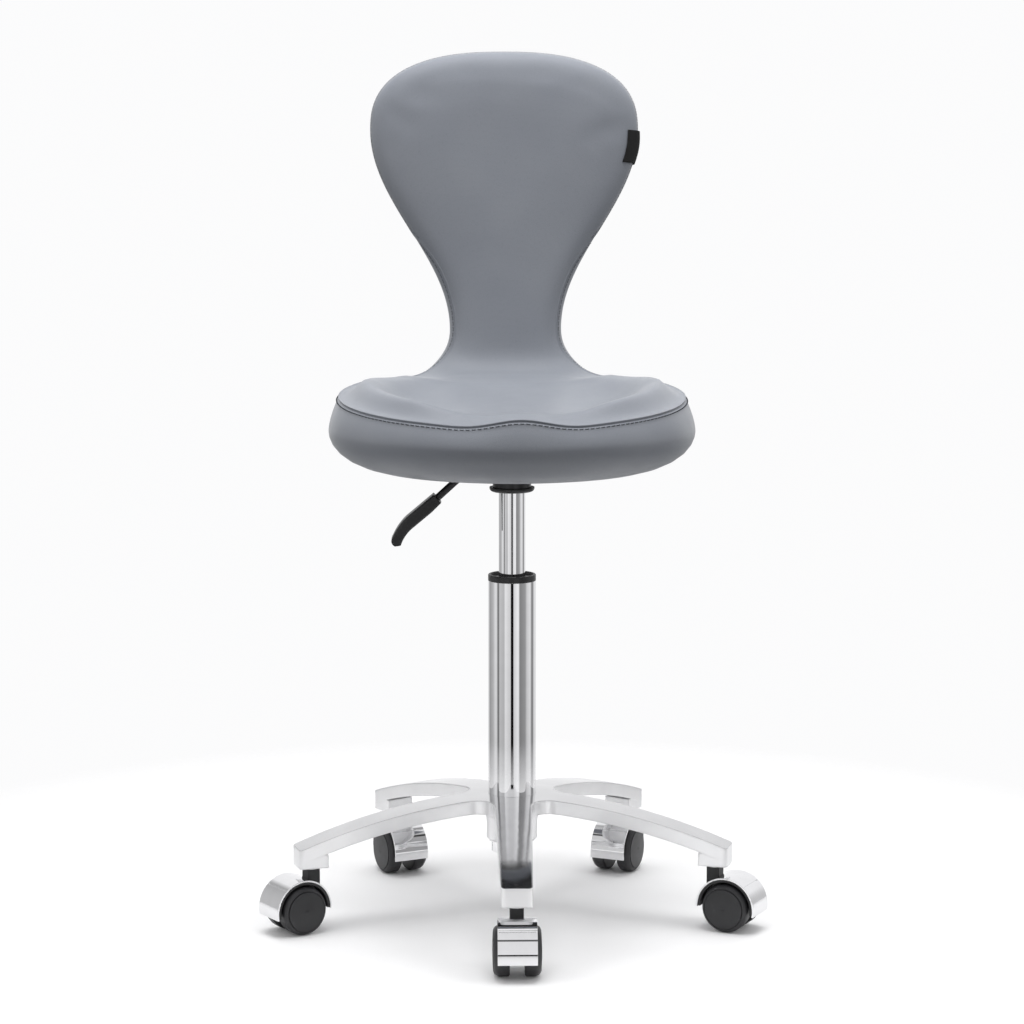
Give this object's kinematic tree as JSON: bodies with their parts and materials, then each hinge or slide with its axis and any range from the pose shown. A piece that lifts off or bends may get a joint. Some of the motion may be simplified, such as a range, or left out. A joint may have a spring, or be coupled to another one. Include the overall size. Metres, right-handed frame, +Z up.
{
  "type": "dentist stool",
  "caption": "Round upholstered seat and low back in one padded shell on a gas lift with a release lever, a polished star base and hooded twin-wheel casters.",
  "frame": {"origin": "on the floor, under the axis of the column", "axes": "+Z up along the column, the sitter faces -Y, +X to the right when seen from the front"},
  "size_m": [0.526, 0.5229, 0.9036],
  "materials": {
    "polished_aluminium": "mirror-polished die casting, slightly satin on the sides",
    "chrome": "bright chrome plate",
    "black_plastic": "moulded black nylon, fine grain",
    "wheel_plastic": "moulded black nylon wheel, satin",
    "steel": "turned and zinc-plated steel",
    "black_steel": "black powder coat",
    "rubber": "black rubber",
    "plywood": "bare moulded beech plywood",
    "foam": "cut polyurethane foam",
    "cover_leather": "blue-grey synthetic leather, fine grain, satin",
    "dust_cloth": "black non-woven cloth",
    "tag_cloth": "black woven ribbon"
  },
  "bodies": {
    "base": {"base_star": "polished_aluminium", "stem_sockets": "black_plastic", "caster_stems": "steel", "column_tube": "chrome", "guide_sleeve": "black_plastic", "thrust_washer_lower": "steel"},
    "swivel_rod": {"piston_rod": "steel", "rod_clip": "steel", "piston": "steel", "piston_seal": "rubber", "thrust_washer_upper": "steel", "thrust_cage": "steel", "thrust_balls": "steel", "bumper": "rubber"},
    "seat": {"gas_cylinder": "chrome", "cylinder_end_guide": "steel", "seat_plate": "black_steel", "socket_cover": "black_plastic", "plate_bolts": "steel", "t_nuts": "steel", "lever_pivot": "steel", "shell_board": "plywood", "seat_foam": "foam", "back_foam": "foam", "cover": "cover_leather", "dust_cover": "dust_cloth", "cover_tag": "tag_cloth"},
    "lever": {"lever_rod": "black_steel", "lever_paddle": "black_plastic"},
    "button": {"release_button": "steel"},
    "caster_1": {"caster_1_housing": "black_plastic", "caster_1_hood": "chrome", "caster_1_axle": "steel"},
    "caster_1_left": {"caster_1_wheel_left": "wheel_plastic"},
    "caster_1_right": {"caster_1_wheel_right": "wheel_plastic"},
    "caster_2": {"caster_2_housing": "black_plastic", "caster_2_hood": "chrome", "caster_2_axle": "steel"},
    "caster_2_left": {"caster_2_wheel_left": "wheel_plastic"},
    "caster_2_right": {"caster_2_wheel_right": "wheel_plastic"},
    "caster_3": {"caster_3_housing": "black_plastic", "caster_3_hood": "chrome", "caster_3_axle": "steel"},
    "caster_3_left": {"caster_3_wheel_left": "wheel_plastic"},
    "caster_3_right": {"caster_3_wheel_right": "wheel_plastic"},
    "caster_4": {"caster_4_housing": "black_plastic", "caster_4_hood": "chrome", "caster_4_axle": "steel"},
    "caster_4_left": {"caster_4_wheel_left": "wheel_plastic"},
    "caster_4_right": {"caster_4_wheel_right": "wheel_plastic"},
    "caster_5": {"caster_5_housing": "black_plastic", "caster_5_hood": "chrome", "caster_5_axle": "steel"},
    "caster_5_left": {"caster_5_wheel_left": "wheel_plastic"},
    "caster_5_right": {"caster_5_wheel_right": "wheel_plastic"}
  },
  "joints": [
    {"name": "column_swivel", "type": "hinge", "parent": "base", "child": "swivel_rod", "pos_m": [0, 0, 0.2], "axis": [0, 0, 1], "continuous": true},
    {"name": "seat_height", "type": "slide", "parent": "swivel_rod", "child": "seat", "axis": [0, 0, 1], "range_m": [-0.075, 0.065]},
    {"name": "release_lever", "type": "hinge", "parent": "seat", "child": "lever", "pos_m": [-0.03, 0, 0.474], "axis": [0, 1, 0], "range_deg": [0, 7], "stiffness_Nm_per_rad": 1, "springref_deg": -8.59},
    {"name": "release_button_travel", "type": "slide", "parent": "seat", "child": "button", "axis": [0, 0, 1], "range_m": [-0.0041, 0]},
    {"name": "caster_1_swivel", "type": "hinge", "parent": "base", "child": "caster_1", "pos_m": [0, -0.22, 0.06], "axis": [0, 0, 1], "continuous": true},
    {"name": "caster_1_left_roll", "type": "hinge", "parent": "caster_1", "child": "caster_1_left", "pos_m": [0, -0.239, 0.025], "axis": [1, 0, 0], "continuous": true},
    {"name": "caster_1_right_roll", "type": "hinge", "parent": "caster_1", "child": "caster_1_right", "pos_m": [0, -0.239, 0.025], "axis": [1, 0, 0], "continuous": true},
    {"name": "caster_2_swivel", "type": "hinge", "parent": "base", "child": "caster_2", "pos_m": [0.20923, -0.06798, 0.06], "axis": [0, 0, 1], "continuous": true},
    {"name": "caster_2_left_roll", "type": "hinge", "parent": "caster_2", "child": "caster_2_left", "pos_m": [0.22601, -0.0769, 0.025], "axis": [0.4695, 0.8829, 0], "continuous": true},
    {"name": "caster_2_right_roll", "type": "hinge", "parent": "caster_2", "child": "caster_2_right", "pos_m": [0.22601, -0.0769, 0.025], "axis": [0.4695, 0.8829, 0], "continuous": true},
    {"name": "caster_3_swivel", "type": "hinge", "parent": "base", "child": "caster_3", "pos_m": [0.12931, 0.17798, 0.06], "axis": [0, 0, 1], "continuous": true},
    {"name": "caster_3_left_roll", "type": "hinge", "parent": "caster_3", "child": "caster_3_left", "pos_m": [0.12128, 0.16076, 0.025], "axis": [0.9063, -0.4226, 0], "continuous": true},
    {"name": "caster_3_right_roll", "type": "hinge", "parent": "caster_3", "child": "caster_3_right", "pos_m": [0.12128, 0.16076, 0.025], "axis": [0.9063, -0.4226, 0], "continuous": true},
    {"name": "caster_4_swivel", "type": "hinge", "parent": "base", "child": "caster_4", "pos_m": [-0.12931, 0.17798, 0.06], "axis": [0, 0, 1], "continuous": true},
    {"name": "caster_4_left_roll", "type": "hinge", "parent": "caster_4", "child": "caster_4_left", "pos_m": [-0.12128, 0.16076, 0.025], "axis": [0.9063, 0.4226, 0], "continuous": true},
    {"name": "caster_4_right_roll", "type": "hinge", "parent": "caster_4", "child": "caster_4_right", "pos_m": [-0.12128, 0.16076, 0.025], "axis": [0.9063, 0.4226, 0], "continuous": true},
    {"name": "caster_5_swivel", "type": "hinge", "parent": "base", "child": "caster_5", "pos_m": [-0.20923, -0.06798, 0.06], "axis": [0, 0, 1], "continuous": true},
    {"name": "caster_5_left_roll", "type": "hinge", "parent": "caster_5", "child": "caster_5_left", "pos_m": [-0.22517, -0.07833, 0.025], "axis": [0.5446, -0.8387, 0], "continuous": true},
    {"name": "caster_5_right_roll", "type": "hinge", "parent": "caster_5", "child": "caster_5_right", "pos_m": [-0.22517, -0.07833, 0.025], "axis": [0.5446, -0.8387, 0], "continuous": true}
  ],
  "couplings": [
    {"joint": "release_button_travel", "follows": "release_lever", "m_per_rad": -0.0335}
  ]
}
